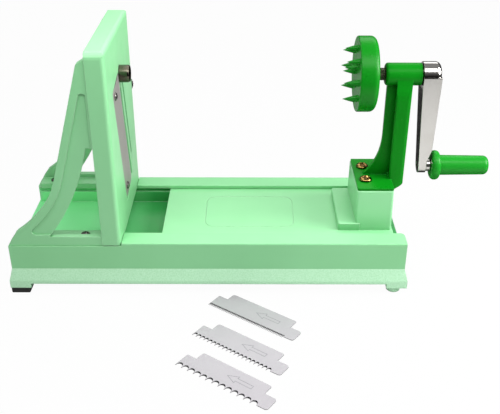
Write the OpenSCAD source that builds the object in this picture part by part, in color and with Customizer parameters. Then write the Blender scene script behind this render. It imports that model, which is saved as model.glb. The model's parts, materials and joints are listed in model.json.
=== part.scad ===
// Hand-cranked turning slicer with a sliding carriage and three loose comb blades.
// Millimetres, +Z up, crank shaft along X. The drawing frame has X = Y = 0 at the middle
// of the base and Z = 0 at its underside; on_table() then sets the whole model down with
// its feet on Z = 0 and the middle of its overall box on X = Y = 0.

/* [Base] */
// Length of the base between its upright end faces
base_l = 350; // [330:1:400]
// Width of the base across both rails
base_w = 129.2; // [124:0.2:150]
// Height of the rail tops above the underside
base_h = 40.6; // [39:0.2:48]
// Clear width between the lips of the rails
trough_w = 91; // [86:1:92]
// Height of the trough floor above the underside
trough_z = 22.3; // [16:0.1:24]
// Wall thickness of the base, tower and carriage mouldings
wall = 2.8; // [2.4:0.1:3.2]
// Height of the flared band along the foot of the base
flare_h = 14.5; // [10:0.5:18]
// How far the foot of the base flares outward
flare = 3; // [1:0.5:5]
// Height of the plain lip below the flared band
skirt_h = 3; // [2:0.5:4]
// Thickness of the lips that hold the carriage down
lip_t = 3.3; // [2.8:0.1:3.6]
// How far the carriage grooves run in behind the lips
groove_d = 2.1; // [1.6:0.1:2.4]
// Number of hollow cells under the base
base_cells = 5; // [3:1:7]

/* [Feet] */
// Height of the underside above the table
foot_h = 9.6; // [8:0.5:14]
// Height of the moulded pads above the feet
pad_h = 4.3; // [3:0.1:5.5]
// Length of each pad along the base
pad_l = 18.5; // [16:0.5:24]
// Width of each pad across the base
pad_w = 26; // [20:1:32]
// Radius of the right-hand pegs
peg_r = 6.2; // [4:0.1:7.5]

/* [Blade tower] */
// Distance from the base's left end to the working face
tower_setback = 99.1; // [90:1:110]
// Depth of the slab behind the working face
tower_t = 16.3; // [14:0.1:20]
// Height of the slab's top above the underside
tower_h = 212.1; // [204:0.5:230]
// Height of the core tube and crank shaft above the underside
axis_h = 173.2; // [168:0.2:176]
// Thickness of the slab's working face
face_t = 3.2; // [3:0.1:4]
// Radius of the slab's long outer edges
slab_r = 3.5; // [2:0.5:5]
// Radius of the slab's two top corners
slab_top_r = 5.5; // [3:0.5:8]
// Thickness of the A-frame side plates
side_t = 6; // [5:0.5:7]
// How far the side plates lie behind the slab's end faces
side_inset = 0.8; // [0:0.1:1.2]
// Depth of the sunk panels on both faces of a side plate
panel_d = 1.4; // [0.8:0.1:1.8]
// Width of the raised rim round a sunk panel
rim_w = 6.5; // [4:0.5:8]
// Height of the bar that closes the side window
sill_h = 9; // [8:0.5:13]
// Height of the side window's top above the underside
window_top = 131; // [120:1:140]
// How far the tower's seat lies below the rail tops
step_d = 2.8; // [2.5:0.1:3]
// Thickness of the screwed flanges on the rails
flange_t = 5; // [3.5:0.1:6]

/* [Blades] */
// Outer radius of the core tube
tube_r = 7.6; // [6.5:0.1:8]
// Wall thickness of the core tube
tube_wall = 0.8; // [0.6:0.1:1.2]
// How far the core tube stands out of the working face
tube_out = 9; // [6:0.5:12]
// Lean of the peeling blade and the comb slot
blade_lean = 13.3; // [10:0.1:15]
// Length of the peeling blade
blade_l = 114; // [104:1:116]
// Width of the peeling blade
blade_w = 32; // [27:0.5:33]
// Thickness of the peeling blade
blade_t = 1.2; // [0.8:0.1:1.4]
// Height of the cutting edge above the working face
edge_rise = 1.2; // [0.8:0.1:2]
// Width of the gap that lets the cut ribbon through
ribbon_gap = 8; // [7:0.5:8.5]
// Overall length of a comb blade
comb_l = 88; // [86:0.5:92]
// Width of a comb blade from tooth roots to back edge
comb_w = 20.6; // [18:0.2:22]
// Thickness of a comb blade
comb_t = 0.6; // [0.5:0.1:0.8]
// Length of the teeth
tooth_l = 4.6; // [3.5:0.1:5]
// Length of the plain end beside the teeth
plain_end = 9; // [8:0.5:12]
// Number of teeth on the fine comb
fine_teeth = 60; // [40:1:64]
// Number of teeth on the medium comb
medium_teeth = 20; // [16:1:26]
// Number of teeth on the coarse comb
coarse_teeth = 13; // [8:1:15]

/* [Carriage] */
// Distance from the block's right face to the base's right end
carriage_gap = 9.7; // [6:0.1:20]
// Length of the sliding plate
plate_l = 209; // [200:1:215]
// Thickness of the sliding plate
plate_t = 3; // [2.5:0.1:3.4]
// Length of the upright block along the rails
block_l = 33; // [30:0.5:38]
// Width of the block across the rails
block_w = 70; // [64:1:80]
// Height of the block's top above the underside
block_h = 75.4; // [68:0.2:84]
// How far the block's two broad sides lean in toward its top
block_draft = 3.8; // [0:0.1:5]
// Height of the step's top above the underside
step_h = 43.8; // [42:0.2:50]
// How far the step runs out in front of the block
step_l = 15.6; // [12:0.2:20]

/* [Crank bracket] */
// Thickness of the bracket's foot plate
bracket_t = 2.2; // [2:0.1:3.4]
// How far the bracket's back overhangs the block
overhang = 11.2; // [9:0.1:14]
// Width of the hollow post
post_w = 25; // [22:0.5:28]
// Depth of the hollow post along the shaft
post_d = 13.5; // [12:0.5:16]
// How far the post hooks down over the block's right side
hook_d = 10; // [4:0.5:14]
// Wall thickness of the post and its gusset
post_wall = 3.8; // [3:0.1:4.5]
// Outer radius of the bearing housing
housing_r = 9.75; // [9:0.05:11]
// Length of the bearing housing
housing_l = 31; // [28:0.2:36]
// Spacing of the two bracket screws
screw_gap = 27; // [24:0.5:30]
// Radius of the large pan heads
pan_r = 5.6; // [4.5:0.1:6]

/* [Crank] */
// Radius of the drive shaft
shaft_r = 4; // [3:0.1:4.5]
// Outer radius of the bearing bushes
bush_r = 6; // [5.6:0.1:7]
// Radius of the spiked disc
disc_r = 32.4; // [28:0.2:36]
// Thickness of the spiked disc
disc_t = 16.2; // [14:0.2:20]
// Radius of the rounded edge at the disc's back
disc_edge = 5; // [3:0.5:9]
// Length of the spikes
spike_l = 11; // [9:0.5:14]
// Radius of the spikes at their foot
spike_r = 3; // [2:0.1:3.6]
// Number of spikes in the outer ring
outer_spikes = 8; // [6:1:10]
// Number of spikes in the inner ring
inner_spikes = 3; // [3:1:4]
// Distance between the shaft and the knob's axis
arm_l = 87; // [75:1:88]
// Thickness of the arm at the shaft
arm_top_t = 15.6; // [14.5:0.1:17]
// Thickness of the arm at the knob
arm_end_t = 6.6; // [6:0.1:7.5]
// Radius of the arm's head round the shaft
arm_top_r = 11; // [9.5:0.5:12]
// Radius of the arm's lower end
arm_end_r = 6.9; // [6.5:0.1:8]
// Overall length of the knob
knob_l = 52.6; // [45:0.5:64]
// Radius of the knob's grip
knob_r = 9.2; // [8.5:0.1:11]
// Radius of the knob's collar
collar_r = 13.5; // [12:0.1:16]

/* [Hidden] */
$fn = 48;

// Fits and finishing sizes
over = 1;
fit = 0.05;
gap = 0.3;
edge_r = 1.2;
arc_n = 4;
mint = "palegreen";
green = "forestgreen";
steel = "silver";

// Base
left_x = -base_l / 2;
right_x = base_l / 2;
rail_y = base_w / 2;
lip_y = trough_w / 2;
lip_z = base_h - lip_t;
groove_y = lip_y + groove_d;
groove_z = lip_z - plate_t - 2 * gap;
cell_y = groove_y + wall - gap;
step_z = base_h - step_d;
cell_l = (base_l - 2 * wall - (base_cells - 1) * wall) / base_cells;
mouth_r = 5;
inset = 3.5;
relief = 0.8;
pad_x0 = left_x - flare;
peg_x = right_x + flare - pad_l + peg_r + edge_r;
peg_y = rail_y + flare - peg_r - edge_r;

// Tower
face_x = left_x + tower_setback;
back_x = face_x - tower_t;
leg_l = back_x - left_x;
leg_h = tower_h - step_z;
sill_z = step_z + sill_h;
flange_z = step_z + flange_t;
leg_shares = [[0, 0.975], [0.08, 0.947], [0.43, 0.364], [0.49, 0.265], [0.64, 0.162], [0.885, 0.081]];
window_shares = [[0.075, 1], [0.16, 0.62], [0.31, 0.29], [0.55, 0]];
boss_r = 4.2;
panel_lift = 1.9;
panel_r = 3;
tower_screw_inset = 12.1;
tower_screw_y = rail_y - tower_screw_inset;
screw_r = 2;
head_r = 3.8;
head_h = 2.2;
screw_l = 14;

// Working face: local origin on the tube's axis, Y across, -Z down along the blade
tube_x0 = back_x - inset;
ring_w = 2.4;
ring_r = tube_r + ring_w;
tube_boss_w = 3;
tube_boss_r = tube_r + tube_boss_w;
edge_y = -(tube_r + 0.9 * tube_wall);
gap_y = edge_y + ribbon_gap;
blade_y = edge_y - blade_w;
ledge_share = 0.45;
ledge_y = blade_y + blade_w * ledge_share;
blade_top = 6;
window_slack = 3;
window_z = blade_top - blade_l - window_slack;
blade_tilt = asin((edge_rise + gap) / blade_w);
blade_screw_share = 0.28;
blade_screw_y = blade_y + blade_w * blade_screw_share;
blade_screw_z_shares = [0.021, 0.875];
blade_screw_r = 1.7;
slot_w = comb_t + 2 * gap;
slot_inset = 8.1;
slot_y = gap_y + slot_inset;
slot_top = -tube_boss_r - gap;
tooth_span = comb_l - plain_end;
slot_bottom = slot_top - tooth_span - 2 * gap;
guide_t = 2;
guide_d = 10;

// Comb clamp screw
clamp_x = (face_x + back_x) / 2;
clamp_drop = 36;
clamp_z = axis_h - clamp_drop;
clamp_r = 2.5;
clamp_head_r = 8;
clamp_head_t = 9;
clamp_boss_r = 5;
clamp_boss_l = 12;
clamp_teeth = 24;
knurl_d = 0.5;
clamp_tip_y = (slot_y + slot_w / 2) / cos(blade_lean) + (axis_h - clamp_z) * tan(blade_lean);

// Carriage
block_x1 = right_x - carriage_gap;
block_x0 = block_x1 - block_l;
block_y = block_w / 2;
block_top_y = block_y - block_draft;
block_r = 2;
plate_x1 = block_x1 + edge_r;
plate_x0 = plate_x1 - plate_l;
plate_y = groove_y - gap;
plate_z1 = lip_z - gap;
plate_z0 = plate_z1 - plate_t;
step_x = block_x0 - step_l;
runner_y = lip_y * 0.66;

// Crank bracket
foot_z = block_h;
foot_z1 = block_h + bracket_t;
post_x1 = block_x1 + overhang;
post_x0 = post_x1 - post_d;
housing_out = 7.6;
housing_x1 = post_x1 + housing_out;
housing_x0 = housing_x1 - housing_l;
bush_l = 9;
pan_h = 3.4;
pan_inset = 9.4;
pan_x = block_x0 + pan_inset;
bracket_screw_l = 16;
bracket_screw_r = 2.4;
hook_share = 0.25;

// Crank
washer_t = 0.8;
collar_len = 8.2;
disc_collar_wall = 1.4;
disc_collar_r = shaft_r + disc_collar_wall;
arm_x0 = housing_x1 + gap + washer_t;
disc_x1 = housing_x0 - gap - collar_len;
disc_x0 = disc_x1 - disc_t;
shaft_x0 = disc_x1 - disc_t / 2;
shaft_x1 = arm_x0 + arm_top_t * 0.7;
knob_z = axis_h - arm_l;
arm_end_x0 = arm_x0 + arm_top_t * 0.33;
arm_end_x1 = arm_end_x0 + arm_end_t;
arm_boss_h = 4.4;
knob_x0 = arm_end_x1 + arm_boss_h + gap;
knob_x1 = knob_x0 + knob_l;
collar_w = 8;
knob_edge = 4.4;
knob_draft = 0.5;
pin_r = 3;
pin_head_r = 3.9;
pin_head_h = 3;

// Loose combs: where the left end of each tooth line lies, chosen by hand
comb_turn = -36;
comb_place_shares = [[0.034, 0.164], [-0.102, 0.652], [-0.227, 1.084]];
comb_places = [for (s = comb_place_shares) [comb_l * s[0], -rail_y - flare - comb_l * s[1]]];
comb_foot_d = 3;
tooth_root_n = 6;
notch_shares = [0.105, 0.87];

// Overall box, from which on_table() centres the model
last_comb = comb_places[2];
near_y = last_comb[1] + comb_l * sin(comb_turn) - comb_foot_d * cos(comb_turn);
far_y = rail_y + gap + clamp_head_t + edge_r;
middle = [(pad_x0 + knob_x1) / 2, (near_y + far_y) / 2];

module on_table() {
  translate([-middle[0], -middle[1], foot_h]) children();
}

// Points of a circular arc
function arc(c, r, a0, a1, n = arc_n) = [
  for (i = [0:n])
    let (a = a0 + (a1 - a0) * i / n)
      c + r * [cos(a), sin(a)]
];

// Points of a cubic curve
function curve(a, b, c, d, n = 12) = [
  for (i = [0:n])
    let (t = i / n, s = 1 - t)
      s * s * s * a + 3 * s * s * t * b + 3 * s * t * t * c + t * t * t * d
];

// Points on the arc that rounds corner p between its neighbours a and b
function corner(p, a, b, r) =
  r == 0 ? [p] :
  let (
    u = (a - p) / norm(a - p),
    v = (b - p) / norm(b - p),
    half = acos(u * v) / 2,
    centre = p + (u + v) / norm(u + v) * r / sin(half),
    s = p + u * r / tan(half) - centre,
    e = p + v * r / tan(half) - centre,
    turn = atan2(s[0] * e[1] - s[1] * e[0], s * e),
    start = atan2(s[1], s[0])
  )
  arc(centre, r, start, start + turn);

// A closed outline with one rounding radius for each of its corners
function rounded(pts, rs) =
  let (n = len(pts))
  [for (i = [0:n - 1]) each corner(pts[i], pts[(i + n - 1) % n], pts[(i + 1) % n], rs[i])];

function box_pts(x0, y0, x1, y1) = [[x0, y0], [x1, y0], [x1, y1], [x0, y1]];

// An open line moved sideways by d, to the left of its direction
function beside(pts, d) =
  let (n = len(pts) - 1)
  [for (i = [0:n])
    let (t = pts[min(i + 1, n)] - pts[max(i - 1, 0)])
      pts[i] + d * [-t[1], t[0]] / norm(t)];

// Outlines drawn in (Y, Z), (X, Z) and (X, Y) and drawn out along the third axis
module along_x(x0, x1) {
  translate([x0, 0, 0]) rotate([90, 0, 90]) linear_extrude(x1 - x0) children();
}

module along_y(y0, y1) {
  translate([0, y1, 0]) rotate([90, 0, 0]) linear_extrude(y1 - y0) children();
}

module along_z(z0, z1) {
  translate([0, 0, z0]) linear_extrude(z1 - z0) children();
}

module block(x0, x1, y0, y1, z0, z1) {
  translate([x0, y0, z0]) cube([x1 - x0, y1 - y0, z1 - z0]);
}

module rod_x(x0, x1, r, z = axis_h) {
  translate([x0, 0, z]) rotate([0, 90, 0]) cylinder(h = x1 - x0, r = r);
}

// A profile of [radius, distance] points turned about the X axis
module turned_x(x0, pts, z = axis_h) {
  translate([x0, 0, z]) rotate([0, 90, 0]) rotate_extrude() polygon(pts);
}

module both_sides() {
  for (side = [0, 1]) mirror([0, side, 0]) children();
}

// A screw with a domed head, seated at the origin and pointing down
module pan_screw(r, l, head_radius, head_height) {
  translate([0, 0, -l]) cylinder(h = l + head_height / 4, r = r);
  rotate_extrude() polygon(concat(
    [[0, 0], [head_radius, 0]],
    [for (i = [0:6]) [head_radius * cos(i * 15), head_height / 3 + head_height * 2 / 3 * sin(i * 15)]]
  ));
}

// Cross recess for the head of a screw seated at the origin
module cross_cut(head_radius, head_height) {
  arm = head_radius * 0.62;
  half = head_radius * 0.11;
  for (turn = [0, 90])
    rotate([0, 0, turn]) block(-arm, arm, -half, half, head_height / 3, head_height + over);
}

// Section of the base across its length
function wall_line(outer) = [
  [outer, base_h - edge_r], [outer, flare_h],
  [outer + flare, skirt_h], [outer + flare, 0]
];

module base_section() {
  side = concat(
    [[0, trough_z], [lip_y, trough_z], [lip_y, groove_z]],
    [[groove_y, groove_z], [groove_y, lip_z], [lip_y, lip_z]],
    arc([lip_y + edge_r / 2, base_h - edge_r / 2], edge_r / 2, 180, 90),
    arc([rail_y - edge_r, base_h - edge_r], edge_r, 90, 0),
    wall_line(rail_y),
    [[0, 0]]
  );
  polygon(side);
  mirror([1, 0]) polygon(side);
}

module base_side() {
  line = wall_line(right_x);
  half = concat([[0, base_h + over], [right_x, base_h + over]], line, [[0, 0]]);
  polygon(half);
  mirror([1, 0]) polygon(half);
}

// Space under the rails and the floor, from the open underside up to height top
module base_cell(top) {
  high = top - wall;
  low = trough_z - wall;
  polygon([
    [-rail_y + wall, -over], [rail_y - wall, -over], [rail_y - wall, high], [cell_y, high],
    [cell_y, low], [-cell_y, low], [-cell_y, high], [-rail_y + wall, high]
  ]);
}

function tower_screw_x(i) = i < 2 ? back_x - leg_l * 0.2 : back_x - leg_l * 0.8;

module each_tower_screw() {
  for (i = [0, 2]) both_sides() translate([tower_screw_x(i), tower_screw_y, 0]) children();
}

module base_pads() {
  pad_y0 = rail_y + flare - pad_w;
  both_sides() {
    block(pad_x0, pad_x0 + pad_l, pad_y0, rail_y + flare, -pad_h, over);
    block(-pad_x0 - pad_l, -pad_x0, pad_y0, rail_y + flare, -pad_h, over);
    translate([peg_x, peg_y, -foot_h]) {
      cylinder(h = foot_h, r = peg_r - edge_r / 2);
      translate([0, 0, edge_r / 2]) cylinder(h = foot_h - edge_r / 2, r = peg_r);
    }
  }
}

module base_channel() {
  color(mint) on_table() difference() {
    union() {
      difference() {
        intersection() {
          along_x(left_x - flare, right_x + flare) base_section();
          along_y(-rail_y - flare, rail_y + flare) base_side();
        }
        for (i = [0:base_cells - 1]) {
          x0 = left_x + wall + i * (cell_l + wall);
          x1 = x0 + cell_l;
          edge = min(max(face_x + wall, x0), x1);
          if (edge > x0) along_x(x0, edge) base_cell(step_z);
          if (edge < x1) along_x(edge, x1) base_cell(base_h);
        }
      }
      base_pads();
      intersection() {
        each_tower_screw() translate([0, 0, trough_z / 2]) cylinder(h = step_z - trough_z / 2, r = boss_r);
        both_sides() block(left_x, face_x, cell_y - wall / 2, rail_y - wall / 2, 0, step_z);
      }
    }
    block(pad_x0 - over, face_x + gap, -rail_y - flare, rail_y + flare, step_z, base_h + over);
    each_tower_screw() translate([0, 0, trough_z / 2 - over]) cylinder(h = base_h, r = screw_r + fit);
    for (end = [0, 1]) mirror([end, 0, 0]) both_sides() rail_mouth();
  }
}

// Rounds the inner corner of a rail's end in plan
module rail_mouth() {
  r = mouth_r;
  difference() {
    block(right_x - r, right_x + flare + over, lip_y - over, lip_y + r, trough_z, base_h + over);
    translate([right_x - r, lip_y + r, 0]) cylinder(h = base_h + 2 * over, r = r);
    block(right_x - r - over, right_x + flare + 2 * over, lip_y + r - fit, lip_y + 2 * r, 0, 2 * base_h);
  }
}

module rubber_foot() {
  x0 = pad_x0 + gap;
  x1 = pad_x0 + pad_l - edge_r;
  y1 = rail_y + flare - gap;
  y0 = rail_y + flare - pad_w + 2 * edge_r;
  r = edge_r;
  color("black") on_table() intersection() {
    along_z(-foot_h, -pad_h) polygon(rounded(box_pts(x0, y0, x1, y1), [r, r, r, r]));
    along_y(y0, y1) polygon(rounded(box_pts(x0, -foot_h, x1, -pad_h), [edge_r, edge_r, 0, 0]));
  }
}

module rubber_foot_front() {
  translate([0, -2 * middle[1], 0]) mirror([0, 1, 0]) rubber_foot();
}

module rubber_foot_back() {
  rubber_foot();
}

// A-frame leg: its long outer line from the nose at the base's end up to the slab
function leg_point(i) = [back_x - leg_l * leg_shares[i][0], step_z + leg_h * leg_shares[i][1]];
function leg_outer() = concat(
  [leg_point(1)],
  curve(leg_point(2), leg_point(3), leg_point(4), leg_point(5))
);
function nose() = [[left_x + leg_l * 0.05, step_z + sill_h * 0.75], [left_x + gap, step_z]];

module leg_outline() {
  polygon(concat(
    [[back_x + over, step_z], [back_x + over, leg_point(0)[1]]],
    corner(leg_point(1), leg_point(0), leg_point(2), inset),
    curve(leg_point(2), leg_point(3), leg_point(4), leg_point(5)),
    nose()
  ));
}

// Window between leg and slab; its left side follows the leg
function window_point(i) = [
  back_x - leg_l * window_shares[i][0],
  sill_z + (window_top - sill_z) * window_shares[i][1]
];
function window_line() = curve(window_point(0), window_point(1), window_point(2), window_point(3), 8);

module window_outline() {
  polygon(concat([[back_x, sill_z], [back_x, window_top]], window_line()));
}

// Sunk panel between the leg's rim, the slab and the bottom bar
module panel_outline() {
  bottom = sill_z + panel_lift;
  line = [for (p = beside(leg_outer(), rim_w)) if (p[1] > bottom + panel_r) p];
  last = len(line) - 1;
  top = window_top + (tower_h - window_top) * 0.59;
  x = line[0][0] + (line[1][0] - line[0][0]) * (line[0][1] - top) / (line[0][1] - line[1][1]);
  right = [back_x - panel_d, top];
  left = [x, top];
  r = (right[0] - left[0]) * 0.4;
  window = window_line();
  inner = len(window) - 3;
  foot = [line[last][0] - panel_r, bottom];
  polygon(concat(
    corner(right, [back_x - panel_d, window_top], left, r),
    corner(left, right, line[1], r),
    [for (i = [1:last]) line[i]],
    corner(foot, line[last], [window[inner][0], bottom], panel_r),
    [[window[inner][0], bottom]],
    [for (i = [inner:-1:0]) window[i]],
    [[back_x - panel_d, window_top]]
  ));
}

module side_plates() {
  both_sides() difference() {
    along_y(rail_y - side_t, rail_y - side_inset) leg_outline();
    along_y(rail_y - side_inset - panel_d, rail_y + over) panel_outline();
    along_y(rail_y - side_t - over, rail_y - side_t + panel_d) panel_outline();
    along_y(rail_y - side_t - over, rail_y + over) window_outline();
  }
}

module slab_block(x0, x1, side, z0, z1, r, top_r) {
  intersection() {
    along_x(x0, x1) polygon(rounded(box_pts(-side, z0, side, z1), [0, 0, top_r, top_r]));
    along_z(z0, z1) polygon(rounded(box_pts(x0, -side, x1, side), [0, r, r, 0]));
    along_y(-side, side) polygon(rounded(box_pts(x0, z0, x1, z1), [0, 0, r, 0]));
  }
}

module slab() {
  y = rail_y - wall;
  difference() {
    slab_block(back_x, face_x, rail_y, step_z, tower_h, slab_r, slab_top_r);
    along_x(back_x - over, face_x - face_t)
      polygon(rounded(box_pts(-y, step_z + wall, y, tower_h - wall), [0, 0, edge_r, edge_r]));
  }
}

// Children are drawn on the working face, leaning with the blade
module on_face() {
  translate([face_x, 0, axis_h]) rotate([blade_lean, 0, 0]) children();
}

module blade_seat_frame() {
  on_face() translate([-gap - blade_t, blade_y, 0]) rotate([0, 0, -blade_tilt]) children();
}

module blade_screw_place(i) {
  blade_seat_frame() translate([blade_t, blade_screw_y - blade_y, -blade_l * blade_screw_z_shares[i]])
    rotate([0, 90, 0]) children();
}

module flanges() {
  both_sides() {
    block(left_x + inset, back_x + over, lip_y, rail_y - over, step_z, flange_z);
  }
}

// What stands behind the working face: tube boss, ribs, screw pads and comb guides
module face_backing() {
  depth = tower_t - face_t;
  rod_x(back_x, face_x - over, tube_boss_r);
  for (z = [axis_h, window_top - wall / 2, sill_z - wall])
    both_sides() block(back_x + inset, face_x - over, lip_y * 0.9, rail_y - over, z, z + wall);
  block(back_x + inset, face_x - over, -wall / 2, wall / 2, axis_h + tube_boss_r - over, tower_h - wall / 2);
  for (i = [0, 1])
    blade_screw_place(i) translate([0, 0, -blade_t - depth / 2]) cylinder(h = depth / 2, r = boss_r);
  on_face() {
    for (y = [slot_y - slot_w / 2 - guide_t, slot_y + slot_w / 2])
      block(-face_t - guide_d, -over, y, y + guide_t, slot_bottom, slot_top);
  }
  translate([clamp_x, rail_y - over, clamp_z]) rotate([90, 0, 0])
    cylinder(h = clamp_boss_l, r = clamp_boss_r);
}

module blade_tower() {
  color(mint) on_table() difference() {
    union() {
      slab();
      side_plates();
      flanges();
      face_backing();
    }
    rod_x(back_x - over, face_x + over, tube_r + fit);
    on_face() {
      block(-tower_t * 2, over, ledge_y, gap_y, window_z, -tube_boss_r - gap);
      block(-tower_t * 2, over, slot_y - slot_w / 2, slot_y + slot_w / 2, slot_bottom, slot_top);
    }
    blade_seat_frame() block(0, 3 * blade_t, -gap, blade_w + over, window_z, blade_top + gap);
    for (i = [0, 1])
      blade_screw_place(i) translate([0, 0, -tower_t / 2]) cylinder(h = tower_t, r = blade_screw_r + fit);
    translate([clamp_x, rail_y + over, clamp_z]) rotate([90, 0, 0])
      cylinder(h = rail_y + over - clamp_tip_y + slot_w / 2, r = clamp_r + fit);
    each_tower_screw() translate([0, 0, step_z - over]) cylinder(h = flange_t + 2 * over, r = screw_r + fit);
    translate([face_x, 0, 0]) seat_relief();
  }
}

// Shadow line round the tower's seat on the rails
module seat_relief() {
  both_sides() block(-tower_t, over, rail_y - relief, rail_y + over, step_z - over, step_z + relief);
}

module tower_screw(i) {
  side = i % 2 == 0 ? -1 : 1;
  color(steel) on_table() translate([tower_screw_x(i), side * tower_screw_y, flange_z]) difference() {
    pan_screw(screw_r, screw_l, head_r, head_h);
    cross_cut(head_r, head_h);
  }
}

module core_tube() {
  inner = tube_r - tube_wall;
  tip = face_x + tube_out - tube_x0;
  color(steel) on_table() turned_x(tube_x0, [
    [inner, 0], [tube_r, 0], [tube_r, tip - 2 * tube_wall], [inner + tube_wall / 4, tip], [inner, tip]
  ]);
}

module tube_ring() {
  color(steel) on_table() difference() {
    rod_x(back_x - wall / 2, back_x, ring_r);
    rod_x(back_x - wall, back_x + over, tube_r + fit);
  }
}

module peeling_blade() {
  bevel = blade_w / 4;
  color(steel) on_table() difference() {
    blade_seat_frame() translate([0, 0, blade_top - blade_l]) linear_extrude(blade_l) polygon([
      [0, 0], [blade_t, 0], [blade_t, blade_w - bevel], [blade_t / 5, blade_w], [0, blade_w]
    ]);
    for (i = [0, 1])
      blade_screw_place(i) translate([0, 0, -blade_t - over])
        cylinder(h = blade_t + 2 * over, r = blade_screw_r + fit);
  }
}

module blade_screw(i) {
  color(steel) on_table() blade_screw_place(i) difference() {
    pan_screw(blade_screw_r, tower_t / 3, head_r * 0.9, head_h * 0.8);
    cross_cut(head_r * 0.9, head_h * 0.8);
  }
}

module comb_clamp_screw() {
  n = clamp_teeth * 2;
  head = [for (i = [0:n - 1]) (clamp_head_r - (i % 2) * knurl_d) * [cos(i * 360 / n), sin(i * 360 / n)]];
  head_y = rail_y + gap;
  color(steel) on_table() {
    translate([clamp_x, 0, clamp_z]) {
      translate([0, head_y + clamp_head_t / 2, 0]) rotate([90, 0, 0])
        cylinder(h = head_y + clamp_head_t / 2 - clamp_tip_y - gap, r = clamp_r);
      along_y(head_y, head_y + clamp_head_t) polygon(head);
      along_y(head_y + clamp_head_t - over, head_y + clamp_head_t + edge_r) circle(r = clamp_head_r * 0.8);
    }
  }
}

// Carriage
module carriage_plate() {
  c = inset;
  along_z(plate_z0, plate_z1) polygon(rounded(box_pts(plate_x0, -plate_y, plate_x1, plate_y), [c, c, c, c]));
}

// One broad side of the block, which leans in, with the two corners beside it
module leaning_side() {
  lean = atan2(block_draft, block_h - plate_z0);
  plan = rounded(box_pts(block_x0, 0, block_x1, 2 * block_w), [block_r, block_r, 0, 0]);
  translate([0, -block_y, plate_z0]) rotate([-lean, 0, 0]) translate([0, 0, -over])
    linear_extrude(block_h) polygon(plan);
}

module carriage_block() {
  r = block_r;
  end_x = block_x0 + 2 * r;
  corners = [[-block_y, plate_z0], [block_y, plate_z0], [block_top_y, block_h], [-block_top_y, block_h]];
  intersection() {
    leaning_side();
    mirror([0, 1, 0]) leaning_side();
    along_x(block_x0, block_x1) polygon(rounded(corners, [0, 0, r, r]));
  }
  intersection() {
    along_z(plate_z0, step_h) polygon(rounded(box_pts(step_x, -block_y, end_x, block_y), [r, 0, 0, r]));
    along_y(-block_y, block_y) polygon(rounded(box_pts(step_x, plate_z0, end_x, step_h), [0, 0, 0, edge_r]));
  }
}

module block_hollow() {
  y = block_y - wall;
  top_y = block_top_y - wall;
  along_x(block_x0 + wall, block_x1 - wall) polygon([
    [-y, plate_z0 - over], [y, plate_z0 - over], [top_y, block_h - wall], [-top_y, block_h - wall]
  ]);
}

module bracket_screw_place(side) {
  translate([pan_x, side * screw_gap / 2, foot_z1]) children();
}

module plate_runners() {
  both_sides()
    block(plate_x0 + inset, plate_x1 - inset, runner_y, runner_y + wall / 2, trough_z + gap, plate_z0 + over);
  for (x = [plate_x0 + inset, plate_x0 + plate_l / 3, plate_x0 + plate_l * 2 / 3])
    block(x, x + wall / 2, -runner_y, runner_y, trough_z + gap, plate_z0 + over);
}

// Shallow line of a rounded panel on the plate
module plate_line() {
  x0 = plate_x0 + plate_l * 0.18;
  x1 = plate_x0 + plate_l * 0.575;
  y = plate_y * 0.62;
  w = edge_r / 2;
  r = 2 * mouth_r;
  along_z(plate_z1 - plate_t / 10, plate_z1 + over) difference() {
    polygon(rounded(box_pts(x0, -y, x1, y), [r, r, r, r]));
    polygon(rounded(box_pts(x0 + w, -y + w, x1 - w, y - w), [r - w, r - w, r - w, r - w]));
  }
}

module carriage() {
  color(mint) on_table() difference() {
    union() {
      carriage_plate();
      difference() {
        union() {
          carriage_block();
          plate_runners();
        }
        block_hollow();
      }
      for (side = [-1, 1]) bracket_screw_place(side) translate([0, 0, -bracket_t - bracket_screw_l - wall])
        cylinder(h = bracket_screw_l + wall, r = bracket_screw_r + wall);
    }
    for (side = [-1, 1]) bracket_screw_place(side) translate([0, 0, -bracket_t - bracket_screw_l])
      cylinder(h = bracket_screw_l + over, r = bracket_screw_r + fit);
    plate_line();
  }
}

// Crank bracket
module bracket_plan() {
  y = block_top_y - edge_r / 2;
  r = edge_r;
  polygon(rounded(box_pts(block_x0 + edge_r / 2, -y, block_x1, y), [r, r, r, r]));
}

// Side view of the post, which hooks down over the block's right side
module post_side() {
  x = block_x1 + gap;
  polygon([
    [post_x0, foot_z], [x, foot_z], [x, foot_z - hook_d], [post_x1, foot_z - hook_d * hook_share],
    [post_x1, axis_h], [post_x0, axis_h]
  ]);
}

module post() {
  y = post_w / 2;
  w = post_wall;
  z = foot_z - hook_d;
  difference() {
    intersection() {
      along_z(z, axis_h)
        polygon(rounded(box_pts(post_x0, -y, post_x1, y), [edge_r, inset, inset, edge_r]));
      along_x(post_x0, post_x1) post_front();
      along_y(-y, y) post_side();
    }
    intersection() {
      along_z(z, axis_h + over)
        polygon(rounded(box_pts(post_x0 - over, -y + w, post_x1 - w, y - w), [0, edge_r, edge_r, 0]));
      translate([-over, 0, w]) along_y(-y, y) post_side();
    }
  }
}

// The post's front view: straight sides that draw in to the housing
module post_front() {
  y = post_w / 2;
  low = foot_z - hook_d;
  shoulder = axis_h - housing_r * 2;
  tip = housing_r * 0.96;
  line = curve([y, shoulder], [y, shoulder + housing_r], [tip, axis_h - housing_r], [tip, axis_h], 6);
  side = concat([[0, low], [y, low]], line, [[0, axis_h]]);
  polygon(side);
  mirror([1, 0]) polygon(side);
}

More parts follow.
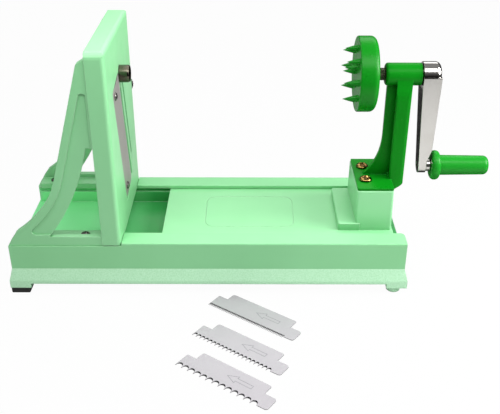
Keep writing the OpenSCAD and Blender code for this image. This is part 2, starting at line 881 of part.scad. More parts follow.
module gusset() {
  x0 = pan_x - pan_r;
  x1 = post_x0 - post_wall * 1.9;
  z = foot_z1 - bracket_t / 2;
  rise = post_d * 3;
  along_y(-post_wall / 2, post_wall / 2) polygon(concat(
    [[post_x1 - edge_r, z]],
    curve(
      [x0 + pan_r * 0.5, z], [x0 + pan_r * 2.6, z + rise * 0.25],
      [x1, z + rise * 0.6], [x1, z + rise], 8
    ),
    [[x1, axis_h], [post_x1 - edge_r, axis_h]]
  ));
}

module crank_bracket() {
  r = edge_r * 2;
  color(green) on_table() difference() {
    union() {
      along_z(foot_z, foot_z1) bracket_plan();
      post();
      gusset();
      turned_x(housing_x0, concat(
        [[0, 0]], arc([housing_r - r, r], r, -90, 0), [[housing_r, housing_l], [0, housing_l]]
      ));
    }
    rod_x(housing_x0 - over, housing_x1 + over, bush_r + fit);
    for (side = [-1, 1]) bracket_screw_place(side) translate([0, 0, -bracket_t - over])
      cylinder(h = bracket_t + 2 * over, r = bracket_screw_r + fit);
  }
}

module bracket_screw(side) {
  color("goldenrod") on_table() bracket_screw_place(side) difference() {
    pan_screw(bracket_screw_r, bracket_screw_l, pan_r, pan_h);
    cross_cut(pan_r, pan_h);
  }
}

module bush(x0) {
  color("peru") on_table() difference() {
    rod_x(x0, x0 + bush_l, bush_r);
    rod_x(x0 - over, x0 + bush_l + over, shaft_r + fit);
  }
}

// Crank
module drive_shaft() {
  color(steel) on_table() rod_x(shaft_x0, shaft_x1, shaft_r);
}

module spike() {
  n = 6;
  rotate([0, -90, 0]) rotate_extrude($fn = 24) polygon(concat(
    [[0, -over]], [for (i = [0:n - 1]) [spike_r * (1 - pow(i / n, 1.25)), spike_l * i / n]], [[0, spike_l]]
  ));
}

module spike_ring(n, r, first) {
  for (i = [0:n - 1]) rotate([first + i * 360 / n, 0, 0]) translate([0, r, 0]) spike();
}

module spiked_disc() {
  color(green) on_table() difference() {
    union() {
      turned_x(disc_x0, concat(
        [[0, 0]], arc([disc_r - edge_r, edge_r], edge_r, -90, 0),
        arc([disc_r - disc_edge, disc_t - disc_edge], disc_edge, 0, 90, 6), [[0, disc_t]]
      ), axis_h, $fn = 96);
      translate([disc_x0, 0, axis_h]) {
        spike_ring(outer_spikes, disc_r * 0.707, 0);
        spike_ring(inner_spikes, disc_r * 0.247, 0);
      }
    }
    rod_x(shaft_x0 - fit, disc_x1 + over, shaft_r + fit);
  }
}

module disc_collar() {
  color("dimgray") on_table() difference() {
    rod_x(disc_x1, disc_x1 + collar_len, disc_collar_r);
    rod_x(disc_x1 - over, disc_x1 + collar_len + over, shaft_r + fit);
  }
}

module arm_washer() {
  color(steel) on_table() difference() {
    rod_x(arm_x0 - washer_t, arm_x0, housing_r - edge_r);
    rod_x(arm_x0 - washer_t - over, arm_x0 + over, shaft_r + fit);
  }
}

// Front view of the arm: a large and a small round end and straight flanks
module arm_outline() {
  lean = asin((arm_top_r - arm_end_r) / arm_l);
  polygon(concat(
    arc([0, axis_h], arm_top_r, -lean, 180 + lean, 24),
    arc([0, knob_z], arm_end_r, 180 + lean, 360 - lean, 18)
  ));
}

module arm_side() {
  x1 = arm_x0 + arm_top_t;
  top = axis_h + arm_top_r;
  low = axis_h - arm_top_r;
  end = knob_z - arm_end_r;
  polygon(rounded(
    [
      [arm_x0, top + over], [arm_x0, low], [arm_end_x0, end - over], [arm_end_x1, end - over],
      [arm_end_x1, knob_z + arm_end_r], [x1 - edge_r / 2, knob_z + arm_end_r * 2.6],
      [x1, low], [x1, top + over]
    ],
    [0, mouth_r, 0, 0, inset, inset, 0, 0]
  ));
}

module crank_arm() {
  head_edge = mouth_r;
  color("whitesmoke") on_table() difference() {
    union() {
      intersection() {
        along_x(arm_x0, arm_x0 + arm_top_t) arm_outline();
        along_y(-arm_top_r, arm_top_r) arm_side();
        union() {
          turned_x(arm_x0, concat(
            [[0, 0], [arm_top_r, 0]],
            arc([arm_top_r - head_edge, arm_top_t - head_edge], head_edge, 0, 90, 6),
            [[0, arm_top_t]]
          ));
          block(arm_x0 - over, arm_x0 + arm_top_t + over, -arm_top_r, arm_top_r, knob_z - arm_top_r, axis_h);
        }
      }
      rod_x(arm_end_x1 - over, arm_end_x1 + arm_boss_h, arm_end_r * 0.8, knob_z);
    }
    rod_x(arm_x0 - over, shaft_x1 + fit, shaft_r + fit);
    rod_x(arm_end_x0 - over, arm_end_x1 + arm_boss_h + over, pin_r + fit, knob_z);
  }
}

module knob_screw() {
  head_x = knob_x1 - knob_edge - pin_head_h;
  color(steel) on_table() {
    rod_x(arm_end_x0, head_x + over, pin_r, knob_z);
    rod_x(head_x, head_x + pin_head_h, pin_head_r, knob_z);
  }
}

module crank_knob() {
  r = knob_edge;
  seat = knob_l - knob_edge - pin_head_h - gap;
  w = collar_w * 0.45;
  tip_r = knob_r - knob_draft;
  color(green) on_table() turned_x(knob_x0, concat(
    [[pin_r + fit, 0]],
    arc([collar_r - w, w], w, -90, 0),
    arc([collar_r - w, collar_w - w], w, 0, 75),
    [[knob_r, collar_w]],
    arc([tip_r - r, knob_l - r], r, 0, 90, 6),
    [[pin_head_r + gap, knob_l], [pin_head_r + gap, seat], [pin_r + fit, seat]]
  ), knob_z);
}

// Loose comb blades
function comb_back() = [
  [comb_l, -comb_foot_d], [comb_l, comb_w * 0.53], [comb_l * notch_shares[1], comb_w * 0.53],
  [comb_l * notch_shares[1], comb_w], [comb_l * notch_shares[0], comb_w],
  [comb_l * notch_shares[0], comb_w * 0.56],
  [0, comb_w * 0.56], [0, 0]
];

// One tooth and the round root after it, starting at x
function tooth(x, pitch) =
  let (
    tip = min(pitch * 0.16, tooth_l / 6),
    root = (pitch - tip) / 2,
    c = x + pitch / 2,
    n = tooth_root_n
  )
  concat(
    [[x, tip - tooth_l], [x + tip / 2, tip * 0.6 - tooth_l * 0.7]],
    [
      for (i = [0:n])
        let (a = i * 180 / n)
          [c - root * cos(a), min(root, tooth_l / 2) * sin(a) - tooth_l * 0.55]
    ],
    [[x + pitch - tip / 2, tip * 0.6 - tooth_l * 0.7]]
  );

module comb_outline(teeth) {
  pitch = tooth_span / teeth;
  polygon(concat(
    rounded(comb_back(), [edge_r * 2, edge_r * 2, 0, edge_r, edge_r * 2, 0, edge_r, 0]),
    [for (i = [0:teeth - 1]) each tooth(i * pitch, pitch)],
    [[tooth_span, -tooth_l * 0.7], [tooth_span, -comb_foot_d]]
  ));
}

module comb(i, teeth) {
  color("gainsboro") on_table() translate([comb_places[i][0], comb_places[i][1], -foot_h])
    rotate([0, 0, comb_turn]) linear_extrude(comb_t) comb_outline(teeth);
}

base_channel();
rubber_foot_front();
rubber_foot_back();
blade_tower();
tower_screw(0);  // tower_screw_1
tower_screw(1);  // tower_screw_2
tower_screw(2);  // tower_screw_3
tower_screw(3);  // tower_screw_4
core_tube();
tube_ring();
peeling_blade();
blade_screw(0);  // blade_screw_top
blade_screw(1);  // blade_screw_bottom
comb_clamp_screw();
carriage();
crank_bracket();
bracket_screw(-1);  // bracket_screw_front
bracket_screw(1);  // bracket_screw_back
bush(housing_x0);  // shaft_bush_disc
bush(housing_x1 - bush_l);  // shaft_bush_arm
drive_shaft();
spiked_disc();
disc_collar();
arm_washer();
crank_arm();
knob_screw();
crank_knob();
comb(0, fine_teeth);  // comb_blade_fine
comb(1, medium_teeth);  // comb_blade_medium
comb(2, coarse_teeth);  // comb_blade_coarse
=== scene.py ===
# %% [markdown]
# A hand-cranked turning slicer, dressed for its portrait.
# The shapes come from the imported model, so this lesson is about light, moulded plastic, metal
# and the few fine pieces that are too small for the solids. Each step first says what the
# real thing is, how it could be made, and why this way was chosen.

# %% Load the frame
import json
import math

import bmesh
import bpy
from mathutils import Matrix, Vector


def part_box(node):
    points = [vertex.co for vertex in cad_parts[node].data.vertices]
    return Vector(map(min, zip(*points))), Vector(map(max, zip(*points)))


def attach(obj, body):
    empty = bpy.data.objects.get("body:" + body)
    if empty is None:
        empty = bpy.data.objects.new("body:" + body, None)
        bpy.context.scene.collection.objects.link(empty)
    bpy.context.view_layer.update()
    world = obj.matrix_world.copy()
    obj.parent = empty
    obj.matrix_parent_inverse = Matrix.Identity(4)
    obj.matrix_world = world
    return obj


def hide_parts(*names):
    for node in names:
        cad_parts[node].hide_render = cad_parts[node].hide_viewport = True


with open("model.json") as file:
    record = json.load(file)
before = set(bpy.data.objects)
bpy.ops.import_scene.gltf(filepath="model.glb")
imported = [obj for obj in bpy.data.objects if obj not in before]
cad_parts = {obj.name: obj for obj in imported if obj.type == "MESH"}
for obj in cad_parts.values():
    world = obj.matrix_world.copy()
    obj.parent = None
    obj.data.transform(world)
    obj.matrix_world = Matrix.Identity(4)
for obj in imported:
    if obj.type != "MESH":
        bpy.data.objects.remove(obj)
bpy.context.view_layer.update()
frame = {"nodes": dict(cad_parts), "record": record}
nodes = frame["nodes"]
MM = 0.001

# %% [markdown]
# The photograph was taken from a little above and far enough away that parallel rails stay
# nearly parallel. The camera could be placed by eye, but the straight edges of the base give
# its height, tilt and lens exactly, so those are set as plain values in metres and degrees.

# %% Camera
IMAGE_W = 500
IMAGE_H = 414
FOCAL_PX = 787.3
CENTRE_ROW = 212.06
SENSOR_W = 36.0
NEAREST = 0.02
FARTHEST = 30.0
CAMERA_PLACE = Vector((-0.00122, -0.57933, 0.41291))
TILT_DOWN = 29.449
ROLL = 0.109


def make_camera():
    data = bpy.data.cameras.new("portrait_camera")
    data.sensor_width = SENSOR_W
    data.lens = FOCAL_PX / IMAGE_W * SENSOR_W
    data.shift_y = (CENTRE_ROW - IMAGE_H / 2) / IMAGE_W
    data.clip_start = NEAREST
    data.clip_end = FARTHEST
    camera = bpy.data.objects.new("portrait_camera", data)
    bpy.context.scene.collection.objects.link(camera)
    turn = Matrix.Rotation(math.radians(90 - TILT_DOWN), 4, "X")
    roll = Matrix.Rotation(math.radians(ROLL), 4, "Z")
    camera.matrix_world = Matrix.Translation(CAMERA_PLACE) @ turn @ roll
    bpy.context.scene.camera = camera
    return camera


print("lens in mm:", round(make_camera().data.lens, 2))
bpy.context.scene.view_settings.view_transform = "Standard"

# %% [markdown]
# Every tree of shader nodes below adds maths, noise and mixes, so a few short helpers place
# them. Each takes the tree and what feeds the node, which may be a number or another socket.

# %% Node helpers


def put(tree, value, socket):
    if isinstance(value, bpy.types.NodeSocket):
        tree.links.new(value, socket)
    elif value is not None:
        socket.default_value = value


def math_node(tree, operation, a=None, b=None, clamp=False):
    node = tree.nodes.new("ShaderNodeMath")
    node.operation = operation
    node.use_clamp = clamp
    put(tree, a, node.inputs[0])
    put(tree, b, node.inputs[1])
    return node.outputs[0]


def noise_node(tree, vector, scale, detail=2.0, roughness=0.5):
    node = tree.nodes.new("ShaderNodeTexNoise")
    node.inputs["Detail"].default_value = detail
    node.inputs["Roughness"].default_value = roughness
    put(tree, vector, node.inputs["Vector"])
    put(tree, scale, node.inputs["Scale"])
    return node.outputs[0]


def map_range(tree, value, low, high, to_low=0.0, to_high=1.0):
    node = tree.nodes.new("ShaderNodeMapRange")
    labels = ("Value", "From Min", "From Max", "To Min", "To Max")
    for label, part in zip(labels, (value, low, high, to_low, to_high)):
        put(tree, part, node.inputs[label])
    return node.outputs["Result"]


def mix_color(tree, factor, a, b):
    node = tree.nodes.new("ShaderNodeMix")
    node.data_type = "RGBA"
    put(tree, factor, node.inputs["Factor"])
    put(tree, a, node.inputs["A"])
    put(tree, b, node.inputs["B"])
    return node.outputs["Result"]


def object_axes(tree):
    coords = tree.nodes.new("ShaderNodeTexCoord")
    split = tree.nodes.new("ShaderNodeSeparateXYZ")
    tree.links.new(coords.outputs["Object"], split.inputs[0])
    return split.outputs


print("node helpers ready")

# %% [markdown]
# The object stands on a pure white table. Plain white would do for the eye, but the chrome
# mirrors the table too, and metal that sees only white looks like paper. So for mirrored rays
# the white sheet ends in front of the object, and again past its middle to the right and
# back, where the room is dark. The Light Path node tells the two kinds of ray apart.

# %% Floor
WHITE = (1.0, 1.0, 1.0, 1)
FLOOR_SIZE = 12.0
FLOOR_ROUGHNESS = 0.9
FLOOR_SHINE = 0.1
FLOOR_BOUNCE = 0.6
FLOOR_GLOW = 0.97
ROOM_DARK = 0.02
SHEET_FRONT = (-0.40, -0.35)
SHEET_SIDE = (0.032, 0.045)
SHEET_BACK = (-0.02, 0.06)


def mirrored_sheet(tree):
    axes = object_axes(tree)
    past_front = map_range(tree, axes["Y"], *SHEET_FRONT)
    past_side = map_range(tree, axes["X"], *SHEET_SIDE)
    past_back = map_range(tree, axes["Y"], *SHEET_BACK)
    corner = math_node(tree, "MULTIPLY", past_side, past_back)
    white = math_node(tree, "MULTIPLY", past_front, math_node(tree, "SUBTRACT", 1.0, corner))
    return map_range(tree, white, 0.0, 1.0, ROOM_DARK, FLOOR_BOUNCE)


def floor_material():
    material = bpy.data.materials.new("floor_white")
    material.use_nodes = True
    tree = material.node_tree
    path = tree.nodes.new("ShaderNodeLightPath").outputs
    shader = tree.nodes["Principled BSDF"]
    shader.inputs["Roughness"].default_value = FLOOR_ROUGHNESS
    shader.inputs["Specular IOR Level"].default_value = FLOOR_SHINE
    shade = map_range(tree, path["Is Glossy Ray"], 0.0, 1.0, FLOOR_BOUNCE, mirrored_sheet(tree))
    put(tree, shade, shader.inputs["Base Color"])
    glow = tree.nodes.new("ShaderNodeEmission")
    glow.inputs["Color"].default_value = WHITE
    blend = tree.nodes.new("ShaderNodeMixShader")
    put(tree, math_node(tree, "MULTIPLY", path["Is Camera Ray"], FLOOR_GLOW), blend.inputs[0])
    put(tree, shader.outputs[0], blend.inputs[1])
    put(tree, glow.outputs[0], blend.inputs[2])
    put(tree, blend.outputs[0], tree.nodes["Material Output"].inputs["Surface"])
    return material


def make_floor():
    mesh = bpy.data.meshes.new("floor")
    half = FLOOR_SIZE / 2
    corners = [(-half, -half, 0), (half, -half, 0), (half, half, 0), (-half, half, 0)]
    mesh.from_pydata(corners, [], [(0, 1, 2, 3)])
    floor = bpy.data.objects.new("floor", mesh)
    bpy.context.scene.collection.objects.link(floor)
    mesh.materials.append(floor_material())
    return floor


print("floor:", make_floor().name)

# %% [markdown]
# The white tent round the table is the world colour. It could be a real dome of cloth, but the
# world needs no mesh, and the Light Path node lets it play three parts: what lights the
# plastic is a pale even glow, what gloss mirrors is a dark room that grows lighter overhead,
# and the eye sees plain white.

# %% Room
TENT_GLOW = 0.348
ROOM_TOP = 0.3
ROOM_RISE = (0.1, 0.8)


def make_room():
    world = bpy.data.worlds.new("pale_room")
    bpy.context.scene.world = world
    world.use_nodes = True
    tree = world.node_tree
    tree.nodes.clear()
    coords = tree.nodes.new("ShaderNodeTexCoord")
    split = tree.nodes.new("ShaderNodeSeparateXYZ")
    put(tree, coords.outputs["Generated"], split.inputs[0])
    mirrored = map_range(tree, split.outputs["Z"], *ROOM_RISE, ROOM_DARK, ROOM_TOP)
    path = tree.nodes.new("ShaderNodeLightPath").outputs
    tent = mix_color(tree, path["Is Glossy Ray"], (TENT_GLOW, TENT_GLOW, TENT_GLOW, 1), mirrored)
    seen = mix_color(tree, path["Is Camera Ray"], tent, WHITE)
    glow = tree.nodes.new("ShaderNodeBackground")
    out = tree.nodes.new("ShaderNodeOutputWorld")
    put(tree, seen, glow.inputs["Color"])
    put(tree, glow.outputs[0], out.inputs[0])
    return world


print("room:", make_room().name)

# %% [markdown]
# Four soft boxes give the form. A ring of them would flatten it, while a long one above the
# front edge leaves the tops nearly white, the fronts a middle tone and the hollows deep. A
# small weak one does the same for the tower, one at the right lights the faces that look that
# way, and one far behind lays a sheen on the tops. The camera sees none of them.

# %% Soft boxes
SOFT_BOXES = {
    "key_above": {
        "place": (0.02, -0.16, 0.50), "aim": (0.02, -0.05, 0.0), "size": (0.8, 0.18),
        "watts": 1.85,
    },
    "glow_over_tower": {
        "place": (-0.08, 0.09, 0.36), "aim": (-0.10, 0.09, 0.0), "size": (0.26, 0.2),
        "watts": 0.27,
    },
    "side_right": {
        "place": (0.55, -0.02, 0.38), "aim": (-0.1, 0.03, 0.17), "size": (0.3, 0.3),
        "watts": 4.0,
    },
    "sheen_back": {
        "place": (0.1, 1.0, 0.85), "aim": (0.0, 0.0, 0.03), "size": (1.2, 0.5),
        "watts": 3.0,
    },
}


def soft_box(name, place, aim, size, watts):
    data = bpy.data.lights.new(name, "AREA")
    data.shape = "RECTANGLE"
    data.size, data.size_y = size
    data.energy = watts
    light = bpy.data.objects.new(name, data)
    bpy.context.scene.collection.objects.link(light)
    light.location = place
    light.rotation_mode = "QUATERNION"
    light.rotation_quaternion = (Vector(place) - Vector(aim)).to_track_quat("Z", "Y")
    light.visible_camera = False
    return light


for name, box in SOFT_BOXES.items():
    print(soft_box(name, **box).name, box["watts"], "W")

# %% [markdown]
# Several finishes share the same effects: corners that catch light, a surface that is never
# quite even, and grain. Each effect is a node group with named inputs and outputs, built once
# and placed in every material with its own values. The groups give out only colours, masks,
# heights and normals, and the shader itself stays in the material.

# %% A helper for node groups


def new_group(name, inputs, outputs):
    group = bpy.data.node_groups.new(name, "ShaderNodeTree")
    for label, kind, value in inputs:
        socket = group.interface.new_socket(name=label, in_out="INPUT", socket_type=kind)
        if value is not None:
            socket.default_value = value
    for label, kind in outputs:
        group.interface.new_socket(name=label, in_out="OUTPUT", socket_type=kind)
    start = group.nodes.new("NodeGroupInput")
    end = group.nodes.new("NodeGroupOutput")
    return group, start.outputs, end.inputs


print("group helper ready")

# %% [markdown]
# No moulded or rolled corner is perfectly sharp. It could be modelled with a bevel on every
# edge, but the solids have hundreds of fine facets that a bevel would tangle. A rounded
# normal read at a small radius gives the same bright line along each corner. Where it departs
# from the flat normal there is an edge, and that edge, broken into patches, is the mask for a
# painted highlight.

# %% Group: soft edges
BEVEL_SAMPLES = 6
EDGE_TURN = (0.02, 0.2)
EDGE_HIGHLIGHT_PATCHES = (0.25, 0.6, 0.4, 1.0)


def make_soft_edges():
    group, start, end = new_group(
        "soft_edges",
        [("Radius", "NodeSocketFloat", 0.5 * MM), ("Break Up", "NodeSocketFloat", 300.0)],
        [("Normal", "NodeSocketVector"), ("Edge", "NodeSocketFloat")],
    )
    rounded = group.nodes.new("ShaderNodeBevel")
    rounded.samples = BEVEL_SAMPLES
    geometry = group.nodes.new("ShaderNodeNewGeometry")
    coords = group.nodes.new("ShaderNodeTexCoord")
    dot = group.nodes.new("ShaderNodeVectorMath")
    dot.operation = "DOT_PRODUCT"
    put(group, start["Radius"], rounded.inputs["Radius"])
    put(group, rounded.outputs[0], dot.inputs[0])
    put(group, geometry.outputs["Normal"], dot.inputs[1])
    edge = map_range(group, math_node(group, "SUBTRACT", 1.0, dot.outputs["Value"]), *EDGE_TURN)
    noise = noise_node(group, coords.outputs["Object"], start["Break Up"], detail=3.0)
    # The edge mask, broken into patches, places a painted highlight.
    patches = map_range(group, noise, *EDGE_HIGHLIGHT_PATCHES)
    put(group, rounded.outputs[0], end["Normal"])
    put(group, math_node(group, "MULTIPLY", edge, patches, clamp=True), end["Edge"])
    return group


soft_edges = make_soft_edges()
print("group:", soft_edges.name)

# %% [markdown]
# In corners and grooves less light reaches, so the plastic gets a deeper colour there and the
# metal a near-black one: painted shade. It could be painted by hand, but an occlusion mask
# finds every hollow by itself. The open trough between the rails is too wide for it. Light
# only comes in there from above, so its painted shade deepens toward the carriage. Each
# solid's mesh is in metres from the model's origin, so plain limits along the axes say where
# the trough is.

# %% Painted shade in the hollows and the trough
HOLLOW_SAMPLES = 8
TROUGH_MIDDLE = 0.071
TROUGH_HALF = 0.05
TROUGH_RUN = (-0.155, -0.097)
# The paler end of the trough's painted shade, next to the tower.
TROUGH_PALE_SHADE = (0.29, 1.0, 0.41, 1)


def hollow_shade_mask(group, reach, shut=0.15, open_sky=0.65):
    hollow = group.nodes.new("ShaderNodeAmbientOcclusion")
    hollow.samples = HOLLOW_SAMPLES
    put(group, reach, hollow.inputs["Distance"])
    return map_range(group, hollow.outputs["AO"], shut, open_sky, 1.0, 0.0)


def trough_painted_shade(group, color, deep, top):
    axes = object_axes(group)
    aside = math_node(group, "ABSOLUTE", math_node(group, "SUBTRACT", axes["Y"], TROUGH_MIDDLE))
    inside = math_node(group, "LESS_THAN", aside, TROUGH_HALF)
    below = math_node(group, "LESS_THAN", axes["Z"], top)
    trough_shade = mix_color(group, map_range(group, axes["X"], *TROUGH_RUN), TROUGH_PALE_SHADE, deep)
    return mix_color(group, math_node(group, "MULTIPLY", inside, below), color, trough_shade)


print("masks ready")

# %% [markdown]
# Moulded plastic looks even from a step away, but close up its colour drifts where the melt
# cooled slower, its gloss changes in patches, and dust sits on it. A photograph of plastic
# could show that, but noise has no seams and no end. A slow noise drifts the colour, a
# quicker one the gloss, and sparse fine cells put in the specks. The foot of the base was
# blasted in the mould, so below a given height its grain is coarse. There it is also painted
# paler, partly the blasted skin's own tint and partly painted light that the flared band catches.

# %% Group: moulded skin
COLOR_DRIFT = (0.3, 0.75)
SPECK_SCALE = 240.0
SPECK_SIZE = (0.05, 0.02, 0.0, 0.2)
DUST = (0.8, 0.8, 0.78, 1)
GLOSS_SCALE = 60.0
GLOSS_DRIFT = (0.3, 0.7, -0.05, 0.06)
BLAST_SCALE = 900.0
BLAST_TINT_AND_LIGHT = (0.68, 1.0, 0.74, 1)
BLAST_TINT_AND_LIGHT_SHARE = 1.15
GRAIN_SHARE = 0.12


def skin_color(group, coords, start):
    drift = noise_node(group, coords, start["Drift Scale"], detail=4.0, roughness=0.55)
    share = map_range(group, drift, *COLOR_DRIFT)
    color = mix_color(group, share, start["Color"], start["Deep Color"])
    # Painted shade: the trough and the hollows get deeper colours.
    color = trough_painted_shade(group, color, start["Hollow Shade"], start["Trough Top"])
    hollow = hollow_shade_mask(group, start["Hollow Reach"])
    color = mix_color(group, hollow, color, start["Hollow Shade"])
    cells = group.nodes.new("ShaderNodeTexVoronoi")
    cells.inputs["Scale"].default_value = SPECK_SCALE
    put(group, coords, cells.inputs["Vector"])
    speck = map_range(group, cells.outputs["Distance"], *SPECK_SIZE)
    return mix_color(group, speck, color, DUST)


def make_moulded_skin():
    group, start, end = new_group(
        "moulded_skin",
        [
            ("Color", "NodeSocketColor", None),
            ("Deep Color", "NodeSocketColor", None),
            ("Hollow Shade", "NodeSocketColor", None),
            ("Hollow Reach", "NodeSocketFloat", 20 * MM),
            ("Roughness", "NodeSocketFloat", 0.35),
            ("Drift Scale", "NodeSocketFloat", 14.0),
            ("Grain Scale", "NodeSocketFloat", 1800.0),
            ("Blast Top", "NodeSocketFloat", -1.0),
            ("Trough Top", "NodeSocketFloat", -1.0),
        ],
        [
            ("Color", "NodeSocketColor"), ("Roughness", "NodeSocketFloat"),
            ("Height", "NodeSocketFloat"),
        ],
    )
    coords = group.nodes.new("ShaderNodeTexCoord").outputs["Object"]
    color = skin_color(group, coords, start)
    patches = noise_node(group, coords, GLOSS_SCALE, detail=3.0)
    change = map_range(group, patches, *GLOSS_DRIFT)
    rough = math_node(group, "ADD", start["Roughness"], change, clamp=True)
    below = math_node(group, "LESS_THAN", object_axes(group)["Z"], start["Blast Top"])
    pits = noise_node(group, coords, BLAST_SCALE, detail=3.0, roughness=0.7)
    blast = math_node(group, "MULTIPLY", pits, below)
    fine = noise_node(group, coords, start["Grain Scale"])
    grain = math_node(group, "MULTIPLY", fine, GRAIN_SHARE)
    # The blasted band is mixed toward a paler colour: partly its own tint, partly painted light.
    paler_and_lit = math_node(group, "MULTIPLY", blast, BLAST_TINT_AND_LIGHT_SHARE)
    put(group, mix_color(group, paler_and_lit, color, BLAST_TINT_AND_LIGHT), end["Color"])
    put(group, rough, end["Roughness"])
    put(group, math_node(group, "ADD", blast, grain), end["Height"])
    return group


moulded_skin = make_moulded_skin()
print("group:", moulded_skin.name)

# %% [markdown]
# Ground and drawn metal carries fine parallel lines. Each could be a stroke of its own, but
# noise draws them all at once when its coordinates are stretched, so that its cells are long
# along the grinding and short across it. The lines move gloss and height, a slow noise adds
# the faint stains of handling, and painted shade darkens the recesses.

# %% Group: ground metal
LINE_GLOSS = (0.3, 0.7, -0.06, 0.08)
STAIN_SCALE = 45.0
STAIN_SHARE = (0.45, 0.8, 0.0, 0.6)
# The near-black colour of the painted shade in recesses.
RECESS_SHADE = (0.012, 0.010, 0.008, 1)


def make_ground_metal():
    group, start, end = new_group(
        "ground_metal",
        [
            ("Color", "NodeSocketColor", None),
            ("Stain", "NodeSocketColor", None),
            ("Roughness", "NodeSocketFloat", 0.3),
            ("Stretch", "NodeSocketVector", (40.0, 3000.0, 3000.0)),
            ("Recess Shade Reach", "NodeSocketFloat", 2.2 * MM),
        ],
        [
            ("Color", "NodeSocketColor"), ("Roughness", "NodeSocketFloat"),
            ("Height", "NodeSocketFloat"),
        ],
    )
    coords = group.nodes.new("ShaderNodeTexCoord").outputs["Object"]
    stretch = group.nodes.new("ShaderNodeVectorMath")
    stretch.operation = "MULTIPLY"
    put(group, coords, stretch.inputs[0])
    put(group, start["Stretch"], stretch.inputs[1])
    lines = noise_node(group, stretch.outputs[0], 1.0, detail=3.0, roughness=0.6)
    stains = map_range(group, noise_node(group, coords, STAIN_SCALE, detail=4.0), *STAIN_SHARE)
    change = map_range(group, lines, *LINE_GLOSS)
    rough = math_node(group, "ADD", start["Roughness"], change, clamp=True)
    color = mix_color(group, stains, start["Color"], start["Stain"])
    # Painted shade: the recesses are darkened almost to black.
    recess_shade = hollow_shade_mask(group, start["Recess Shade Reach"], shut=0.4, open_sky=0.85)
    put(group, mix_color(group, recess_shade, color, RECESS_SHADE), end["Color"])
    put(group, rough, end["Roughness"])
    put(group, lines, end["Height"])
    return group


ground_metal = make_ground_metal()
print("group:", ground_metal.name)

# %% [markdown]
# A material starts as one Principled shader with its constants set on its own sockets. Then
# the groups are placed in it, and a Bump node turns their height into a normal on top of the
# rounded one. One helper does the wiring, so that each finish below is only its own values.

# %% A helper for finishes
BUMP_DEPTH = 0.1 * MM
EDGE_HIGHLIGHT_SHARE = 0.85


def place_group(tree, group, values):
    node = tree.nodes.new("ShaderNodeGroup")
    node.node_tree = group
    for label, value in values.items():
        node.inputs[label].default_value = value
    return node.outputs


def finish(name, group, values, radius, bump, highlight_color=None, **constants):
    material = bpy.data.materials.new(name)
    material.use_nodes = True
    tree = material.node_tree
    shader = tree.nodes["Principled BSDF"]
    for label, value in constants.items():
        shader.inputs[label.replace("_", " ")].default_value = value
    skin = place_group(tree, group, values)
    edges = place_group(tree, soft_edges, {"Radius": radius})
    bumps = tree.nodes.new("ShaderNodeBump")
    bumps.inputs["Strength"].default_value = bump
    bumps.inputs["Distance"].default_value = BUMP_DEPTH
    put(tree, skin["Height"], bumps.inputs["Height"])
    put(tree, edges["Normal"], bumps.inputs["Normal"])
    put(tree, bumps.outputs["Normal"], shader.inputs["Normal"])
    put(tree, skin["Roughness"], shader.inputs["Roughness"])
    color = skin["Color"]
    # Painted highlight: a paler colour is mixed in along the edges.
    if highlight_color:
        edge_highlight = math_node(tree, "MULTIPLY", edges["Edge"], EDGE_HIGHLIGHT_SHARE)
        color = mix_color(tree, edge_highlight, color, highlight_color)
    put(tree, color, shader.inputs["Base Color"])
    return material


print("finish helper ready")

# %% [markdown]
# The base, tower and carriage are a pale mint plastic, satin from the mould. The crank
# bracket, disc and knob are a deep green with more gloss, and two of the feet are rubber.
# Plastic finishes differ only in their colours and gloss, so each is a short list of values.
# The base has the mint of the tower, with the limits of its blasted foot and of the painted
# shade in its trough.

# %% Plastic finishes
FLARE_TOP = 24.1 * MM
STEP_TOP = 46.5 * MM
MINT = {
    "Color": (0.29, 0.70, 0.345, 1), "Deep Color": (0.27, 0.67, 0.32, 1),
    "Hollow Shade": (0.04, 0.33, 0.08, 1), "Hollow Reach": 45 * MM, "Roughness": 0.36,
}
MINT_BASE = {**MINT, "Hollow Reach": 28 * MM, "Blast Top": FLARE_TOP, "Trough Top": STEP_TOP}
# A dark copy of the mint, for the painted shade round the comb slot.
MINT_SHADE = {**MINT, "Color": (0.03, 0.30, 0.07, 1), "Deep Color": (0.03, 0.27, 0.06, 1)}
GREEN = {
    "Color": (0.003, 0.23, 0.008, 1), "Deep Color": (0.002, 0.195, 0.006, 1),
    "Hollow Shade": (0.001, 0.07, 0.003, 1), "Hollow Reach": 14 * MM, "Roughness": 0.3,
}
# The knob gets a lighter copy of the green: painted light, for the light its top catches.
GREEN_KNOB_LIT = {**GREEN, "Color": (0.010, 0.28, 0.018, 1), "Deep Color": (0.008, 0.25, 0.015, 1)}
RUBBER = {
    "Color": (0.012, 0.012, 0.012, 1), "Deep Color": (0.02, 0.02, 0.02, 1),
    "Hollow Shade": (0.008, 0.008, 0.008, 1), "Roughness": 0.7,
}
# Paler colours for the painted highlight along the edges.
MINT_EDGE_HIGHLIGHT = (0.62, 0.95, 0.66, 1)
GREEN_EDGE_HIGHLIGHT = (0.03, 0.48, 0.06, 1)


def plastic(name, values, radius, bump, shine, highlight_color=None):
    return finish(
        name, moulded_skin, values, radius, bump, highlight_color, Specular_IOR_Level=shine,
    )


